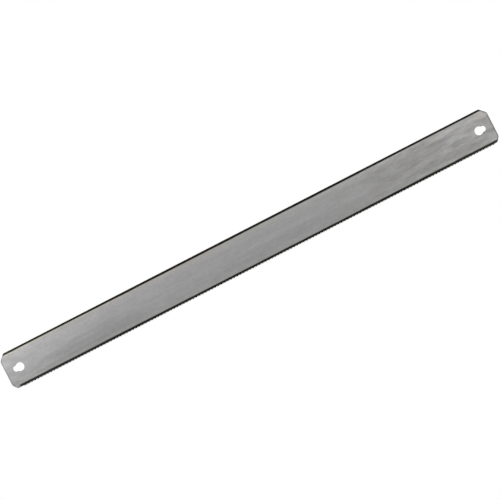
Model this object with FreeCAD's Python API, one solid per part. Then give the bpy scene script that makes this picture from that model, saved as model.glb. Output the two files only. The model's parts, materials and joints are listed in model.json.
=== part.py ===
"""Replacement blade for a mitre saw: one toothed strip of spring steel with a keyhole at each end.

Millimetres. X runs along the blade, Y through its thickness, and Z across it, from the teeth (down) to the
back (up). The origin is the middle of the blade, halfway between the two pins that hold it.
"""

import FreeCAD
import Part
import math
import os

INCH = 25.4

# Driving dimensions of the strip.
LENGTH = 22 * INCH
WIDTH = 39.7            # from the back edge to the tooth tips
THICKNESS = 0.9
LAND_RELIEF = 1.0       # the plain edge at both ends of the teeth lies this far above their tips

# The corners are cut off across. The cut is longer at the back than on the toothed side, and it is rounded
# into the end of the blade and, less, into its long edge.
BACK_CORNER_ALONG = 6.45
BACK_CORNER_ACROSS = 6.4
TOOTH_CORNER_ALONG = 4.0
TOOTH_CORNER_ACROSS = 5.0
END_RADIUS = 4.0
EDGE_RADIUS = 1.2

# A headed pin enters the round hole, and the frame's tension pulls it out into the narrow seat.
PIN_SPACING = 536.4     # between the middles of the two seats
SEAT_RADIUS = 3.1
HEAD_RADIUS = 4.6
SEAT_TO_HEAD = 4.5

# Crosscut teeth that lean slightly towards +X, set to alternate sides and filed at an angle.
TEETH_PER_INCH = 14
TOOTH_COUNT = 299
TEETH_START = -269.4    # a short plain land is left between here and the cut-off corner
TOOTH_DEPTH = 1.32      # on the side that the tooth is set to, where it is longest
RAKE = math.radians(36)  # of the steeper flank, from square to the edge
FLEAM = math.radians(40)
SET = 0.25              # how far each tip is bent out past the face
END_GULLET_FLOOR = 0.4  # between the last tooth and the plain land at each end

PITCH = INCH / TEETH_PER_INCH
HALF_LENGTH = LENGTH / 2
HALF_WIDTH = WIDTH / 2
HALF_THICKNESS = THICKNESS / 2
LAND_Z = LAND_RELIEF - HALF_WIDTH
ROOT_Z = TOOTH_DEPTH - HALF_WIDTH
TEETH_END = TEETH_START + TOOTH_COUNT * PITCH
CLOSE = 0.01            # places nearer than this are taken to be the same

# Filing at an angle makes a tooth wider at its root on the side it is set to, by this much at each flank.
FLEAM_SHIFT = HALF_THICKNESS * math.tan(FLEAM)
WIDE_ROOT = PITCH + 2 * FLEAM_SHIFT
NARROW_ROOT = PITCH - 2 * FLEAM_SHIFT
STEEP_RUN = math.tan(RAKE)                      # along X for each millimetre of depth


def vector(x, y, z):
    return FreeCAD.Vector(x, y, z)


def flat_face(points):
    return Part.Face(Part.makePolygon(points + [points[0]]))


def through_prism(outline):
    """The solid with this outline of (x, z) corners and the thickness of the blade."""
    front = flat_face([vector(x, -HALF_THICKNESS, z) for x, z in outline])
    return front.extrude(vector(0, THICKNESS, 0))


def corners_where(plate, test):
    """The plate's edges that run through its thickness at a place that passes the test."""
    through = [edge for edge in plate.Edges if abs(edge.Vertexes[0].Y - edge.Vertexes[-1].Y) > HALF_THICKNESS]
    return [edge for edge in through if test(edge.CenterOfMass)]


def at_an_end(place):
    return abs(place.x) > HALF_LENGTH - CLOSE


def at_a_long_edge(place):
    return place.z > HALF_WIDTH - CLOSE or place.z < LAND_Z + CLOSE


def blank():
    """The strip before it is toothed: a rectangle with its corners cut off."""
    right = [
        (HALF_LENGTH - BACK_CORNER_ALONG, HALF_WIDTH),
        (HALF_LENGTH, HALF_WIDTH - BACK_CORNER_ACROSS),
        (HALF_LENGTH, LAND_Z + TOOTH_CORNER_ACROSS),
        (HALF_LENGTH - TOOTH_CORNER_ALONG, LAND_Z),
    ]
    left = [(-x, z) for x, z in reversed(right)]
    plate = through_prism(right + left)
    plate = plate.makeFillet(END_RADIUS, corners_where(plate, at_an_end))
    return plate.makeFillet(EDGE_RADIUS, corners_where(plate, at_a_long_edge))


def toothing_room():
    """What is taken off the edge before the teeth are added, its ends sloped like the flanks of a tooth."""
    below = ROOT_Z - TOOTH_DEPTH
    left_floor = TEETH_START - END_GULLET_FLOOR
    right_floor = TEETH_END + END_GULLET_FLOOR
    return through_prism([
        (left_floor, ROOT_Z),
        (right_floor, ROOT_Z),
        (right_floor + TOOTH_DEPTH * STEEP_RUN, below),
        (left_floor - TOOTH_DEPTH * STEEP_RUN, below),
    ])


def round_hole(radius, x):
    return Part.makeCylinder(radius, 2 * THICKNESS, vector(x, -THICKNESS, 0), vector(0, 1, 0))


def keyhole(end):
    """The hole at the left end (end -1) or the right end (end +1), its narrow seat outermost."""
    seat_x = end * PIN_SPACING / 2
    head_x = seat_x - end * SEAT_TO_HEAD
    neck = Part.makeBox(SEAT_TO_HEAD, 2 * THICKNESS, 2 * SEAT_RADIUS,
                        vector(min(seat_x, head_x), -THICKNESS, -SEAT_RADIUS))
    return round_hole(HEAD_RADIUS, head_x).fuse([neck, round_hole(SEAT_RADIUS, seat_x)])


def tooth(side):
    """One tooth set towards side (+1 or -1 along Y), its root centred on X = 0."""

    def triangle(y, root_width):
        """The tooth's outline on one face: two root corners and the tip, bent over with the set."""
        depth = TOOTH_DEPTH * root_width / WIDE_ROOT
        bend = side * SET * depth / TOOTH_DEPTH
        tip_x = root_width / 2 - depth * STEEP_RUN
        return [
            vector(-root_width / 2, y, ROOT_Z),
            vector(root_width / 2, y, ROOT_Z),
            vector(tip_x, y + bend, ROOT_Z - depth),
        ]

    outer = triangle(side * HALF_THICKNESS, WIDE_ROOT)
    inner = triangle(-side * HALF_THICKNESS, NARROW_ROOT)
    faces = [flat_face(outer), flat_face(inner)]
    for here, there in ((0, 1), (1, 2), (2, 0)):
        faces.append(flat_face([outer[here], outer[there], inner[there], inner[here]]))
    solid = Part.Solid(Part.Shell(faces))
    if solid.Volume < 0:
        solid.reverse()
    return solid


def toothing():
    """Every tooth in its place, set in turn to the back (+Y) and to the front (-Y)."""
    kinds = (tooth(+1), tooth(-1))
    first_x = TEETH_START + PITCH / 2
    return [kinds[i % 2].translated(vector(first_x + i * PITCH, 0, 0)) for i in range(TOOTH_COUNT)]


def saw_blade():
    plate = blank().cut([toothing_room(), keyhole(-1), keyhole(+1)])
    fused = plate.multiFuse(toothing())
    return fused.Solids[0]


os.makedirs("parts", exist_ok=True)
blade = saw_blade()
blade.exportStep("parts/saw_blade.step")
box = blade.BoundBox
print("saw_blade: solids", len(blade.Solids), "valid", blade.isValid(), "faces", len(blade.Faces),
      "volume %.1f mm3" % blade.Volume, "size %.2f %.2f %.2f" % (box.XLength, box.YLength, box.ZLength))
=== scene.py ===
"""The looks of a mitre saw's replacement blade, built around its CAD frame.

One detailed mesh stands for the CAD blade: the same outline, keyholes and alternately set and filed teeth,
with rounded rims, gullets and tips added. Positions are in metres in the CAD frame: X along the blade, Y
through its thickness, and Z across it, from the teeth up to the back. The front of the blade faces -Y.
"""

import json
import math
import random
from collections import namedtuple

import bmesh
import bpy
from mathutils import Matrix, Vector
from mathutils.geometry import delaunay_2d_cdt


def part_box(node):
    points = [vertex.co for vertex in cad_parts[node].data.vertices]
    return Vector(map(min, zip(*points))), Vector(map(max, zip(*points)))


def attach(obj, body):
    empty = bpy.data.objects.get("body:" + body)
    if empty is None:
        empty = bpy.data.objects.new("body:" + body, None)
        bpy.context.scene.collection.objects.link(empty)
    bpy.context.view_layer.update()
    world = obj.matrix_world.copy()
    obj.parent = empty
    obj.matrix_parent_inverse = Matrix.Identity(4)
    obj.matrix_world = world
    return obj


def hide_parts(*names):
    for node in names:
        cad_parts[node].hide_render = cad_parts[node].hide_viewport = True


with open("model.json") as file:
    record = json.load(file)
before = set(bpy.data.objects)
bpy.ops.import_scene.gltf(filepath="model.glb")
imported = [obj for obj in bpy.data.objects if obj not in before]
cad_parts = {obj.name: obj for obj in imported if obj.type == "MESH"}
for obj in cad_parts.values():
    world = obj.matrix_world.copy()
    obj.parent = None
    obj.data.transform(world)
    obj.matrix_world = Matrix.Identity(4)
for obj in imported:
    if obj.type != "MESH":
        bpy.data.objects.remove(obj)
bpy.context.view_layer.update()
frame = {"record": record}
random.seed(22)

MM = 0.001
MOUNTS = {mount["name"]: mount for mount in frame["record"]["mounts"]}

# The strip. Its size comes from the frame, and the rest repeats the CAD's driving dimensions.
BOX_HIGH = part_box("saw_blade")[1]
HALF_LENGTH = BOX_HIGH[0]
HALF_WIDTH = BOX_HIGH[2]
HALF_THICKNESS = -MOUNTS["side_face"]["pos_m"][1]
BACK_ALONG, BACK_ACROSS = 6.45 * MM, 6.4 * MM
TOOTH_ALONG, TOOTH_ACROSS = 4.0 * MM, 5.0 * MM
END_RADIUS = 4.0 * MM
EDGE_RADIUS = 1.2 * MM
LAND_Z = 1.0 * MM - HALF_WIDTH          # the plain edge at both ends of the teeth

# The teeth.
PITCH = 25.4 * MM / 14
TOOTH_COUNT = 299
TEETH_START = -269.4 * MM
TEETH_END = TEETH_START + TOOTH_COUNT * PITCH
TOOTH_DEPTH = 1.32 * MM
ROOT_Z = TOOTH_DEPTH - HALF_WIDTH
FLEAM_SHIFT = HALF_THICKNESS * math.tan(math.radians(40))
WIDE_ROOT = PITCH + 2 * FLEAM_SHIFT
NARROW_ROOT = PITCH - 2 * FLEAM_SHIFT
STEEP_RUN = math.tan(math.radians(36))
SET = BOX_HIGH[1] - HALF_THICKNESS
BEND_CURVE = 1.15                       # 1 is a straight taper of the set from root to tip
END_GULLET_FLOOR = 0.4 * MM
LAND_ROUND = 0.3 * MM
GULLET_ROUND = 0.14 * MM                # how far along each flank a gullet's rounding reaches
GULLET_FILL = 0.3                       # of that reach, how much it fills in at the middle
TIP_LAND = 0.035 * MM
TIP_WEAR = 0.05 * MM                    # the most that a tip is worn down

# Rims: how far the rounding between a face and a wall reaches, and its steps.
OUTER_ROUND = 0.2 * MM
HOLE_ROUND = 0.25 * MM
RIM_STEPS = 3
WALL_ROWS = 2 * (RIM_STEPS + 1)
SMOOTH_BELOW = math.radians(38)

# The rows of points inside a face start with two to a tooth and get coarser towards the back.
ROW_GROWTH = 1.55
ROW_GAP = 0.85                          # between rows, for each millimetre between points
WIDEST_SPACING = 5 * MM
LEAST_CLEARANCE = 0.45                  # from the outline, for each millimetre between points

FACE, RIM, FLANK = range(3)             # the blade's materials, in the order of its slots

# One place on an edge: its (x, z) on the front and back faces, the way into the metal, how far the rim's
# rounding reaches (0 on a tooth, which is sharp), and the side that the tooth is set to (0 for no tooth).
Station = namedtuple("Station", "front back inward rounding side")


# ---------------------------------------------------------------- outline

def arc(centre, radius, start, end, steps):
    """Points on an arc, both ends included. Angles are in radians from +X towards +Z."""
    angles = [start + (end - start) * i / steps for i in range(steps + 1)]
    return [Vector((centre[0] + radius * math.cos(a), centre[1] + radius * math.sin(a))) for a in angles]


def rounded(corners, radii, steps=6):
    """An open path through the corners, with each inner one rounded to its radius."""
    corners = [Vector(corner) for corner in corners]
    path = [corners[0]]
    for before, corner, after, radius in zip(corners, corners[1:], corners[2:], radii):
        back = (before - corner).normalized()
        ahead = (after - corner).normalized()
        half = back.angle(ahead) / 2
        centre = corner + (back + ahead).normalized() * radius / math.sin(half)
        first = corner + back * radius / math.tan(half) - centre
        last = corner + ahead * radius / math.tan(half) - centre
        path += [centre + first.lerp(last, i / steps).normalized() * radius for i in range(steps + 1)]
    path.append(corners[-1])
    return path


def plain_stations(path, rounding, closed=False):
    """Stations along a path that has the metal on its right."""
    stations = []
    for i, point in enumerate(path):
        ahead = path[(i + 1) % len(path)] if closed or i + 1 < len(path) else point
        behind = path[i - 1] if closed or i else point
        along = (ahead - behind).normalized()
        stations.append(Station(point, point, Vector((along.y, -along.x)), rounding, 0))
    return stations


def tooth_side(index):
    """The side that a tooth is set to: +1 is the back of the blade, +Y."""
    return 1 if index % 2 == 0 else -1


def tooth_profile(index, face, wear):
    """A tooth on one face (-1 front, +1 back), from the gullet on its left to the one on its right."""
    middle = TEETH_START + (index + 0.5) * PITCH
    root = WIDE_ROOT if tooth_side(index) == face else NARROW_ROOT
    depth = TOOTH_DEPTH * root / WIDE_ROOT
    left = Vector((middle - root / 2, ROOT_Z))
    right = Vector((middle + root / 2, ROOT_Z))
    tip = Vector((right.x - depth * STEEP_RUN, ROOT_Z - depth + wear))
    land = Vector((TIP_LAND / 2, 0))
    return [
        left - Vector((0, GULLET_ROUND * GULLET_FILL)),
        left + (tip - left).normalized() * GULLET_ROUND,
        left.lerp(tip, 0.55),
        tip - land,
        tip + land,
        right.lerp(tip, 0.5),
        right + (tip - right).normalized() * GULLET_ROUND,
    ]


def tooth_stations():
    """Stations along the teeth, from the right end to the left."""
    stations = []
    for index in range(TOOTH_COUNT):
        wear = TIP_WEAR * random.random() ** 2
        faces = zip(tooth_profile(index, -1, wear), tooth_profile(index, +1, wear))
        stations += [Station(front, back, Vector((0, 1)), 0, tooth_side(index)) for front, back in faces]
    return stations[::-1]


def outer_loop():
    """Stations clockwise round the blade, as the front is seen, from the left end of the teeth."""
    left_floor = TEETH_START - END_GULLET_FLOOR
    right_floor = TEETH_END + END_GULLET_FLOOR
    corners = [
        (left_floor, ROOT_Z),
        (left_floor - (ROOT_Z - LAND_Z) * STEEP_RUN, LAND_Z),
        (-HALF_LENGTH + TOOTH_ALONG, LAND_Z),
        (-HALF_LENGTH, LAND_Z + TOOTH_ACROSS),
        (-HALF_LENGTH, HALF_WIDTH - BACK_ACROSS),
        (-HALF_LENGTH + BACK_ALONG, HALF_WIDTH),
        (HALF_LENGTH - BACK_ALONG, HALF_WIDTH),
        (HALF_LENGTH, HALF_WIDTH - BACK_ACROSS),
        (HALF_LENGTH, LAND_Z + TOOTH_ACROSS),
        (HALF_LENGTH - TOOTH_ALONG, LAND_Z),
        (right_floor + (ROOT_Z - LAND_Z) * STEEP_RUN, LAND_Z),
        (right_floor, ROOT_Z),
    ]
    corner_radii = [EDGE_RADIUS, END_RADIUS, END_RADIUS, EDGE_RADIUS]
    radii = [LAND_ROUND] + corner_radii * 2 + [LAND_ROUND]
    return plain_stations(rounded(corners, radii), OUTER_ROUND) + tooth_stations()


def keyhole_loop(word, end):
    """Stations anticlockwise round the keyhole at the left end (end -1) or the right end (end +1)."""
    seat, head = MOUNTS[word + "_pin_seat"], MOUNTS[word + "_head_hole"]
    seat_r, head_r = seat["dims"]["r_mm"] * MM, head["dims"]["r_mm"] * MM
    head_x = head["pos_m"][0]
    gap = abs(seat["pos_m"][0] - head_x)
    mouth = math.asin(seat_r / head_r)
    drawn = arc((0, 0), head_r, mouth, 2 * math.pi - mouth, 48)
    drawn += arc((gap, 0), seat_r, -math.pi / 2, math.pi / 2, 22)
    path = [Vector((head_x + end * p.x, p.y)) for p in drawn]
    return plain_stations(path[::end], HOLE_ROUND, closed=True)


# ---------------------------------------------------------------- mesh

def set_offset(z, side):
    """How far the set bends a tooth out of the blade's plane at this height."""
    share = max(0.0, min((ROOT_Z - z) / TOOTH_DEPTH, 1.0))
    return side * SET * share ** BEND_CURVE


def wall_point(station, row):
    """The point of a station at this row of the wall, from 0 at the front face to the last at the back."""
    place = station.front.lerp(station.back, row / (WALL_ROWS - 1))
    y = HALF_THICKNESS * (2 * row / (WALL_ROWS - 1) - 1)
    if station.rounding:
        face = -1 if row <= RIM_STEPS else 1
        angle = math.pi / 2 * min(row, WALL_ROWS - 1 - row) / RIM_STEPS
        place = place + station.inward * station.rounding * (1 - math.sin(angle))
        y = face * (HALF_THICKNESS - station.rounding * (1 - math.cos(angle)))
    return Vector((place.x, y + set_offset(place.y, station.side), place.y))


def near_keyhole(x, z, margin):
    """True in either keyhole or less than the margin from it."""
    for mount in MOUNTS.values():
        reach = mount["dims"].get("r_mm", 0) * MM + margin
        if mount["kind"] in ("bore", "clamp") and math.hypot(x - mount["pos_m"][0], z) < reach:
            return True
    return False


def is_clear(x, z, margin):
    """True where a point is at least the margin inside the plain strip and outside the keyholes."""
    near_end = abs(x) > HALF_LENGTH - BACK_ALONG - margin
    near_edge = abs(z) > HALF_WIDTH - BACK_ACROSS - margin
    inside = abs(x) < HALF_LENGTH - margin and z < HALF_WIDTH - margin
    return inside and not (near_end and near_edge) and not near_keyhole(x, z, margin)


def inner_points(face):
    """Points inside a face, as (x, z, side): one in each tooth, then the rows."""
    points = []
    for index in range(TOOTH_COUNT):
        profile = tooth_profile(index, face, 0)
        middle = profile[2].lerp(profile[5], 0.5)
        points.append((middle.x, middle.y, tooth_side(index)))
    spacing = PITCH / 2
    z = ROOT_Z + spacing
    while z < HALF_WIDTH:
        count = int(2 * HALF_LENGTH / spacing)
        for i in range(count):
            x = (i + 0.5) * 2 * HALF_LENGTH / count - HALF_LENGTH
            if is_clear(x, z, LEAST_CLEARANCE * spacing):
                points.append((x, z, 0))
        spacing = min(ROW_GROWTH * spacing, WIDEST_SPACING)
        z += ROW_GAP * spacing
    return points


def runs_round(loop, point):
    """True if the closed loop of points runs round the point."""
    crossings = 0
    for a, b in zip(loop, loop[1:] + loop[:1]):
        if (a.y > point.y) != (b.y > point.y):
            crossings += point.x < a.x + (b.x - a.x) * (point.y - a.y) / (b.y - a.y)
    return crossings % 2 == 1


def add_face(vertices, faces, loops, bases, row):
    """Triangles for the front (row 0) or the back (the last row), between the loops' own vertices."""
    side = -1 if row == 0 else 1
    flat, owners, edges, firsts = [], [], [], []
    for loop, base in zip(loops, bases):
        first = len(flat)
        firsts.append(first)
        for i in range(len(loop)):
            owner = base + i * WALL_ROWS + row
            flat.append(Vector((vertices[owner].x, vertices[owner].z)) / MM)
            owners.append(owner)
            edges.append((first + i, first + (i + 1) % len(loop)))
    for x, z, tooth in inner_points(side):
        flat.append(Vector((x, z)) / MM)
        owners.append(len(vertices))
        vertices.append(Vector((x, side * HALF_THICKNESS + set_offset(z, tooth), z)))
    holes = [flat[first:first + len(loop)] for first, loop in zip(firsts[1:], loops[1:])]
    places, _, triangles, origins, _, _ = delaunay_2d_cdt(flat, edges, [], 1, 1e-6)
    for triangle in triangles:
        centre = sum((places[corner] for corner in triangle), Vector((0, 0))) / 3
        near = near_keyhole(centre.x * MM, centre.y * MM, MM)
        if not (near and any(runs_round(hole, centre) for hole in holes)):
            faces.append((tuple(owners[origins[corner][0]] for corner in triangle), FACE))


def blade_mesh():
    holes = [keyhole_loop("left", -1), keyhole_loop("right", +1)]
    loops = [outer_loop(), *holes]
    vertices, faces, bases = [], [], []
    for loop in loops:
        base = len(vertices)
        bases.append(base)
        vertices += [wall_point(station, row) for station in loop for row in range(WALL_ROWS)]
        for i, station in enumerate(loop):
            j = (i + 1) % len(loop)
            wall = FLANK if station.side or loop[j].side else RIM
            for row in range(WALL_ROWS - 1):
                here, there = base + i * WALL_ROWS + row, base + j * WALL_ROWS + row
                faces.append(((here, there, there + 1, here + 1), wall))
    add_face(vertices, faces, loops, bases, 0)
    add_face(vertices, faces, loops, bases, WALL_ROWS - 1)
    mesh = bpy.data.meshes.new("blade")
    mesh.from_pydata(vertices, [], [corners for corners, _ in faces])
    for polygon, (_, material) in zip(mesh.polygons, faces):
        polygon.material_index = material
    mesh.shade_smooth()
    made = bmesh.new()
    made.from_mesh(mesh)
    bmesh.ops.recalc_face_normals(made, faces=made.faces)
    for edge in made.edges:
        kinds = {face.material_index == FACE for face in edge.link_faces}
        edge.smooth = len(kinds) == 1 and edge.calc_face_angle(0) < SMOOTH_BELOW
    made.to_mesh(mesh)
    made.free()
    return mesh


# ---------------------------------------------------------------- materials

class Shader:
    """A material's nodes, built by short calls. A value is a number, a colour or another node's output."""

    def __init__(self, name):
        self.material = bpy.data.materials.new(name)
        self.material.use_nodes = True
        self.tree = self.material.node_tree
        self.tree.nodes.clear()
        self.output = self.tree.nodes.new("ShaderNodeOutputMaterial")
        self.surface = self.tree.nodes.new("ShaderNodeBsdfPrincipled")
        self.tree.links.new(self.surface.outputs[0], self.output.inputs[0])

    def put(self, socket, value):
        if isinstance(value, bpy.types.NodeSocket):
            self.tree.links.new(value, socket)
        elif value is not None:
            socket.default_value = value

    def set(self, **values):
        """Sets the surface's sockets, named with underscores for spaces."""
        for name, value in values.items():
            self.put(self.surface.inputs[name.replace("_", " ")], value)

    def place(self, scale=(1, 1, 1)):
        """Object coordinates in millimetres, times the scale."""
        coordinates = self.tree.nodes.new("ShaderNodeTexCoord").outputs["Object"]
        node = self.tree.nodes.new("ShaderNodeVectorMath")
        node.operation = "MULTIPLY"
        self.put(node.inputs[0], coordinates)
        self.put(node.inputs[1], tuple(s / MM for s in scale))
        return node.outputs[0]

    def axis(self, letter):
        node = self.tree.nodes.new("ShaderNodeSeparateXYZ")
        self.put(node.inputs[0], self.place())
        return node.outputs[letter]

    def noise(self, scale, detail=2, roughness=0.5):
        """Noise from 0 to 1, its features about 1 / scale millimetres long in X, Y and Z."""
        node = self.tree.nodes.new("ShaderNodeTexNoise")
        self.put(node.inputs["Vector"], self.place(scale))
        node.inputs["Scale"].default_value = 1
        node.inputs["Detail"].default_value = detail
        node.inputs["Roughness"].default_value = roughness
        return node.outputs["Fac"]

    def math(self, operation, a, b=None, c=None, clamp=False):
        node = self.tree.nodes.new("ShaderNodeMath")
        node.operation = operation
        node.use_clamp = clamp
        for socket, value in zip(node.inputs, (a, b, c)):
            self.put(socket, value)
        return node.outputs[0]

    def remap(self, value, low, high, to_low=0.0, to_high=1.0):
        """A smooth step from to_low, where the value is low or less, to to_high, where it is high or more."""
        node = self.tree.nodes.new("ShaderNodeMapRange")
        node.interpolation_type = "SMOOTHSTEP"
        for socket, number in zip(node.inputs, (value, low, high, to_low, to_high)):
            self.put(socket, number)
        return node.outputs[0]

    def mix(self, factor, a, b):
        """The colour a where the factor is 0, b where it is 1."""
        node = self.tree.nodes.new("ShaderNodeMix")
        node.data_type = "RGBA"
        self.put(node.inputs["Factor"], factor)
        self.put(node.inputs[6], a)
        self.put(node.inputs[7], b)
        return node.outputs[2]

    def scaled(self, colour, factor):
        """A colour times a number."""
        node = self.tree.nodes.new("ShaderNodeVectorMath")
        node.operation = "SCALE"
        self.put(node.inputs[0], colour)
        self.put(node.inputs["Scale"], factor)
        return node.outputs[0]

    def bump(self, height, strength, distance):
        node = self.tree.nodes.new("ShaderNodeBump")
        node.inputs["Strength"].default_value = strength
        node.inputs["Distance"].default_value = distance
        self.put(node.inputs["Height"], height)
        self.set(Normal=node.outputs[0])


def grey(level, warmth=0.0):
    """A linear grey, slightly warmer (or with a negative warmth cooler) than neutral."""
    return (level * (1 + warmth), level, level * (1 - warmth), 1)


# The colouring of the strip, in millimetres. Each pair is where a change starts and where it is complete.
BACK_BAND = (1.85, 2.95)                # from the back edge: the dark band fades into the steel
BACK_FRINGE = (2.6, 6.0)                # and so does the pale fringe beside it
TEETH_BAND = (2.8, 4.1)                 # the same two from the tips of the teeth
TEETH_FRINGE = (3.8, 6.9)
TEETH_BAND_LEFT = (-276, -270.5)        # along X: that band begins with the teeth
BURR_LINE = (0.4, 1.7)                  # in from the sheared ends
TAPER = (60, 270)                       # either way from the middle: both bands shift towards the back

# Soft patches of duller or brighter steel: the middle and reach in X and Z, in millimetres, and how much.
PATCHES = (
    ((-185, -14), (78, 18), -0.13),
    ((185, 5), (62, 13), -0.11),
    ((262, -16), (26, 8), 0.12),
)

NEUTRAL_STEEL, BROWNISH_STEEL = grey(0.56), grey(0.56, 0.03)
YELLOW_FRINGE, BROWN_FRINGE = (0.62, 0.62, 0.575, 1), (0.67, 0.62, 0.56, 1)
DARK_OXIDE, DARK_BROWN_OXIDE = (0.005, 0.005, 0.0044, 1), (0.0057, 0.005, 0.0042, 1)
LIGHT_OXIDE, LIGHT_BROWN_OXIDE = (0.011, 0.011, 0.0097, 1), (0.0126, 0.011, 0.0092, 1)


def patch(s, centre, reach):
    """1 in the middle of a soft oval patch, at this (x, z) in millimetres, and 0 past its reach."""
    squares = []
    for letter, middle, radius in zip("XZ", centre, reach):
        across = s.math("MULTIPLY_ADD", s.axis(letter), 1 / radius, -middle / radius)
        squares.append(s.math("MULTIPLY", across, across))
    return s.remap(s.math("ADD", *squares), 0.1, 1, 1, 0)


def strip_tone_and_painted_light(s, fine, middle):
    """How bright the steel is: painted lighter towards the back, with grain, clouds and the soft patches."""
    x, z = s.axis("X"), s.axis("Z")
    broad = s.noise((0.004, 1, 0.16), 2)
    cloud = s.noise((0.05, 1, 0.24), 3, 0.6)
    speckle = s.noise((0.3, 1, 0.55), 3, 0.65)
    # Painted light: the base colour gets lighter from the teeth to the back, standing in for the studio light
    # from above.
    tone_and_painted_light = s.remap(z, -17, 19, 0.95, 1.08)
    for noise, strength in ((fine, 0.3), (middle, 0.2), (broad, 0.2), (speckle, 0.3)):
        tone_and_painted_light = s.math("MULTIPLY_ADD", s.math("SUBTRACT", noise, 0.5), strength, tone_and_painted_light)
    # The clouds are faint in the middle, stronger at the left end and strongest at the right end.
    clouding = s.math("ADD", s.remap(x, 80, 270, 0.5, 2.5), s.remap(x, -190, -270, 0, 0.8))
    drift = s.math("MULTIPLY", s.math("SUBTRACT", cloud, 0.5), s.math("MULTIPLY", clouding, 0.5))
    tone_and_painted_light = s.math("ADD", tone_and_painted_light, drift)
    for centre, reach, strength in PATCHES:
        tone_and_painted_light = s.math("MULTIPLY_ADD", patch(s, centre, reach), strength, tone_and_painted_light)
    return tone_and_painted_light


def from_cut(s, from_end, from_edge, along, across):
    """The distance from a cut-off corner, given those from the end and from the long edge."""
    size = math.hypot(along, across)
    near = s.math("MULTIPLY_ADD", from_end, across / size, -along * across / size)
    return s.math("MULTIPLY_ADD", from_edge, along / size, near)


def burr_shade(s):
    """Darker in a line just inside the sheared ends and corners, more so at the right end."""
    x, z = s.axis("X"), s.axis("Z")
    from_end = s.math("SUBTRACT", HALF_LENGTH / MM, s.math("ABSOLUTE", x))
    from_back = s.math("SUBTRACT", HALF_WIDTH / MM, z)
    from_land = s.math("SUBTRACT", z, LAND_Z / MM)
    back_cut = from_cut(s, from_end, from_back, BACK_ALONG / MM, BACK_ACROSS / MM)
    tooth_cut = from_cut(s, from_end, from_land, TOOTH_ALONG / MM, TOOTH_ACROSS / MM)
    nearest = s.math("MINIMUM", from_end, s.math("MINIMUM", back_cut, tooth_cut))
    return s.remap(nearest, *BURR_LINE, s.remap(x, -100, 100, 0.72, 0.46), 1)


def sheet_steel():
    """Satin strip steel with grain along the blade, and the dark heat-tinted bands along both edges."""
    s = Shader("sheet_steel")
    x, z = s.axis("X"), s.axis("Z")
    fine = s.noise((0.03, 1, 7), 4, 0.6)
    middle = s.noise((0.008, 1, 1.1), 3, 0.55)
    tint = s.noise((0.06, 1, 0.2), 2, 0.6)
    tinting = s.math("MULTIPLY", s.remap(tint, 0.38, 0.62), s.remap(x, 60, 240, 0.1, 1))
    steel = s.mix(tinting, NEUTRAL_STEEL, BROWNISH_STEEL)

    # Both bands waver, and shift a little towards the back from the middle to the ends.
    waver = s.math("MULTIPLY", s.math("SUBTRACT", s.noise((0.06, 1, 0.01), 3), 0.5), 0.5)
    taper = s.remap(s.math("ABSOLUTE", x), *TAPER, -0.12, 0.25)
    from_back = s.math("ADD", s.math("ADD", s.math("SUBTRACT", HALF_WIDTH / MM, z), waver), taper)
    from_tips = s.math("SUBTRACT", s.math("ADD", s.math("SUBTRACT", z, -HALF_WIDTH / MM), waver), taper)
    back_band = s.remap(from_back, *BACK_BAND, 1, 0)
    teeth_band = s.math("MULTIPLY", s.remap(from_tips, *TEETH_BAND, 1, 0), s.remap(x, *TEETH_BAND_LEFT))
    band = s.math("MAXIMUM", back_band, teeth_band)

    # The fringes are yellowish, but brown along the left half of the back.
    brown = s.math("MULTIPLY", s.remap(x, 140, -60), s.remap(z, -5, 5))
    teeth_fringe = s.remap(from_tips, *TEETH_FRINGE, 1, 0)
    beside = s.math("MAXIMUM", s.remap(from_back, *BACK_FRINGE, 1, 0), teeth_fringe)
    fringe = s.mix(brown, YELLOW_FRINGE, BROWN_FRINGE)
    steel = s.mix(s.math("MULTIPLY", beside, 0.7), steel, fringe)
    steel = s.scaled(steel, strip_tone_and_painted_light(s, fine, middle))
    steel = s.scaled(steel, burr_shade(s))

    # The bands' oxide is worn lighter at the left end, and at the right end of the teeth.
    worn_left = s.remap(x, -140, -265, 1, 2.7)
    worn = s.math("MULTIPLY_ADD", s.remap(x, 180, 270), s.remap(z, 5, -5, 0, 2.4), worn_left)
    dark = s.mix(brown, DARK_OXIDE, DARK_BROWN_OXIDE)
    light = s.mix(brown, LIGHT_OXIDE, LIGHT_BROWN_OXIDE)
    oxide = s.scaled(s.mix(middle, dark, light), worn)
    s.set(
        Base_Color=s.mix(band, steel, oxide),
        Metallic=s.remap(band, 0.2, 0.9, 1.0, 0.55),
        Roughness=s.math("ADD", s.math("MULTIPLY_ADD", fine, 0.16, 0.26), s.math("MULTIPLY", band, 0.12)),
        Specular_IOR_Level=0.2,
        Anisotropic=0.5,
    )
    s.bump(fine, 0.25, 0.02 * MM)
    return s.material


def sheared_steel():
    """The walls at the ends and in the keyholes: shorn and punched metal, streaked through the thickness."""
    s = Shader("sheared_steel")
    streaks = s.noise((9, 0.5, 9), 3, 0.6)
    blotches = s.noise((0.7, 2, 0.7), 2)
    steel = s.mix(blotches, grey(0.05, 0.02), grey(0.10, 0.03))
    from_middle = s.math("ABSOLUTE", s.axis("Z"))
    band = s.remap(from_middle, HALF_WIDTH / MM - 2.5, HALF_WIDTH / MM - 1.8)
    s.set(
        Base_Color=s.mix(band, steel, grey(0.03, 0.1)),
        Metallic=1.0,
        Roughness=s.math("MULTIPLY_ADD", streaks, 0.25, 0.4),
    )
    s.bump(streaks, 0.5, 0.03 * MM)
    return s.material


def ground_steel():
    """The flanks of the teeth: freshly ground facets, with fine marks across the edge."""
    s = Shader("ground_steel")
    marks = s.noise((22, 1.5, 3), 2, 0.6)
    s.set(
        Base_Color=s.mix(marks, grey(0.44), grey(0.62, 0.01)),
        Metallic=1.0,
        Roughness=s.math("MULTIPLY_ADD", marks, 0.16, 0.16),
    )
    s.bump(marks, 0.3, 0.01 * MM)
    return s.material


# ---------------------------------------------------------------- pieces

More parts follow.
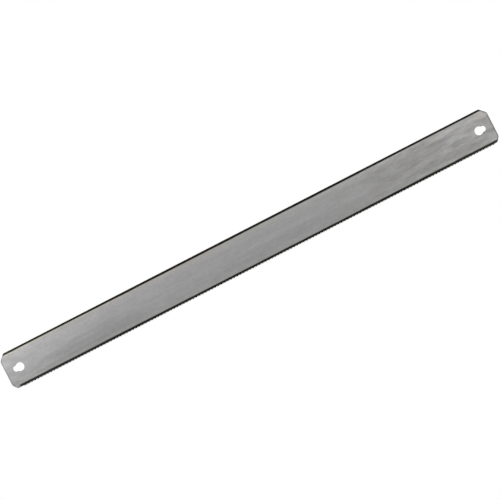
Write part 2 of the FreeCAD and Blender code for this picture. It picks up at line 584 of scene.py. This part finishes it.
def build_blade():
    blade = bpy.data.objects.new("saw_blade_detailed", blade_mesh())
    bpy.context.scene.collection.objects.link(blade)
    for material in (sheet_steel(), sheared_steel(), ground_steel()):
        blade.data.materials.append(material)
    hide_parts("saw_blade")
    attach(blade, "root")
    return blade


# ---------------------------------------------------------------- stage

FLOOR_Z = -0.6
FLOOR_RADIUS = 1.8
FLOOR_STEPS = 96
FLOOR_FADES = (0.9, 1.75)               # from the middle of the blade

# How brightly the studio lights the metal from each side. To the camera it is plain white.
FRONT_LIGHT = 0.55
BEHIND_LIGHT = 0.75
ABOVE_LIGHT = 0.9


def build_floor():
    """A pale floor well under the blade, which fades into the white of the studio towards its rim."""
    last = 2 * math.pi * (1 - 1 / FLOOR_STEPS)
    circle = [(p.x, p.y, FLOOR_Z) for p in arc((0, 0), FLOOR_RADIUS, 0, last, FLOOR_STEPS - 1)]
    mesh = bpy.data.meshes.new("studio_floor")
    mesh.from_pydata(circle, [], [tuple(range(FLOOR_STEPS))])
    floor = bpy.data.objects.new("studio_floor", mesh)
    bpy.context.scene.collection.objects.link(floor)
    s = Shader("pale_floor")
    s.set(Base_Color=(0.9, 0.9, 0.9, 1), Roughness=0.8)
    distance = s.tree.nodes.new("ShaderNodeVectorMath")
    distance.operation = "LENGTH"
    s.put(distance.inputs[0], s.place())
    s.set(Alpha=s.remap(distance.outputs["Value"], *(fade / MM for fade in FLOOR_FADES), 1, 0))
    floor.data.materials.append(s.material)


def build_world():
    """A studio that looks white. It lights the metal with grey, brighter from behind and above."""
    world = bpy.data.worlds.new("studio")
    bpy.context.scene.world = world
    world.use_nodes = True
    tree = world.node_tree
    tree.nodes.clear()
    output = tree.nodes.new("ShaderNodeOutputWorld")
    seen = tree.nodes.new("ShaderNodeBackground")
    seen.inputs["Color"].default_value = (1, 1, 1, 1)
    light = tree.nodes.new("ShaderNodeBackground")
    coordinates = tree.nodes.new("ShaderNodeTexCoord")
    axes = tree.nodes.new("ShaderNodeSeparateXYZ")
    behind = tree.nodes.new("ShaderNodeMapRange")
    above = tree.nodes.new("ShaderNodeMapRange")
    brightest = tree.nodes.new("ShaderNodeMath")
    path = tree.nodes.new("ShaderNodeLightPath")
    choice = tree.nodes.new("ShaderNodeMixShader")
    brightest.operation = "MAXIMUM"
    for node, low, high, bright in ((behind, 0.1, 0.7, BEHIND_LIGHT), (above, 0.0, 0.9, ABOVE_LIGHT)):
        node.interpolation_type = "SMOOTHSTEP"
        for socket, number in zip(node.inputs[1:5], (low, high, FRONT_LIGHT, bright)):
            socket.default_value = number
    link = tree.links.new
    link(coordinates.outputs["Generated"], axes.inputs[0])
    link(axes.outputs["Y"], behind.inputs[0])
    link(axes.outputs["Z"], above.inputs[0])
    link(behind.outputs[0], brightest.inputs[0])
    link(above.outputs[0], brightest.inputs[1])
    link(brightest.outputs[0], light.inputs["Strength"])
    link(path.outputs["Is Camera Ray"], choice.inputs[0])
    link(light.outputs[0], choice.inputs[1])
    link(seen.outputs[0], choice.inputs[2])
    link(choice.outputs[0], output.inputs[0])


def softbox(name, place, size, power):
    """A square area light of this size in metres, aimed at the blade."""
    data = bpy.data.lights.new(name, "AREA")
    data.shape = "SQUARE"
    data.size = size
    data.energy = power
    lamp = bpy.data.objects.new(name, data)
    lamp.location = place
    lamp.rotation_euler = (-Vector(place)).to_track_quat("-Z", "Y").to_euler()
    bpy.context.scene.collection.objects.link(lamp)


# The camera looks at the front of the blade square on, from far off, rolled so that the right end is up.
ROLL = math.radians(27.2)
LENS = 350
SENSOR = 36
VIEW_WIDTH = 0.5112                     # across the picture, at the blade
AIM = Vector((-0.08 * MM, 0, -1.37 * MM))


def build_camera():
    data = bpy.data.cameras.new("camera")
    data.lens = LENS
    data.sensor_width = SENSOR
    distance = VIEW_WIDTH * LENS / SENSOR
    data.clip_end = 4 * distance
    camera = bpy.data.objects.new("camera", data)
    facing = Matrix.Rotation(math.pi / 2, 4, "X")
    rolled = Matrix.Rotation(ROLL, 4, "Y")
    camera.matrix_world = Matrix.Translation(AIM - Vector((0, distance, 0))) @ rolled @ facing
    bpy.context.scene.collection.objects.link(camera)
    bpy.context.scene.camera = camera


build_blade()
build_floor()
build_world()
softbox("key", (-0.9, -1.6, 1.1), 1.2, 8)
softbox("fill", (1.4, -1.2, 0.3), 1.0, 2)
softbox("left_end", (-0.5, -0.36, 0.1), 0.25, 0.65)
softbox("right_end", (0.5, -0.33, 0.06), 0.25, 0.2)
softbox("rear", (0.3, 1.8, 1.0), 1.2, 6)
build_camera()
bpy.context.scene.view_settings.view_transform = "Standard"
